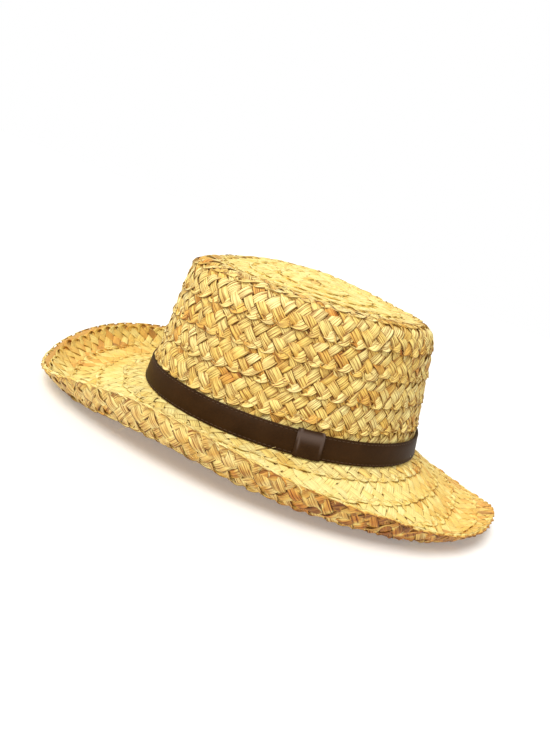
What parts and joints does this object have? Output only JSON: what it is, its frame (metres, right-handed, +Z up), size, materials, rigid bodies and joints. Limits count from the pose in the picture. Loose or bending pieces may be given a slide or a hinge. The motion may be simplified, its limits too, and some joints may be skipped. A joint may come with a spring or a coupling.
{
  "type": "straw hat",
  "caption": "Wide-brimmed straw hat with a flat-topped crown, side-rolled brim and leather band, worn on the head against the sun.",
  "frame": {"origin": "on the surface the hat lies on, under the middle of its box", "axes": "+X towards the front of the brim, +Z up, the crown leaning back a little as the hat lies on its brim"},
  "size_m": [0.3504, 0.3106, 0.1294],
  "materials": {
    "straw_crown": "plaited raffia, dry satin sheen",
    "straw_brim": "plaited raffia, dry satin sheen",
    "leather_strap": "smooth dark leather, low sheen",
    "leather_keeper": "smooth dark leather, low sheen"
  },
  "bodies": {
    "root": {"crown": "straw_crown", "brim": "straw_brim", "band": "leather_strap", "band_keeper": "leather_keeper"}
  },
  "joints": []
}
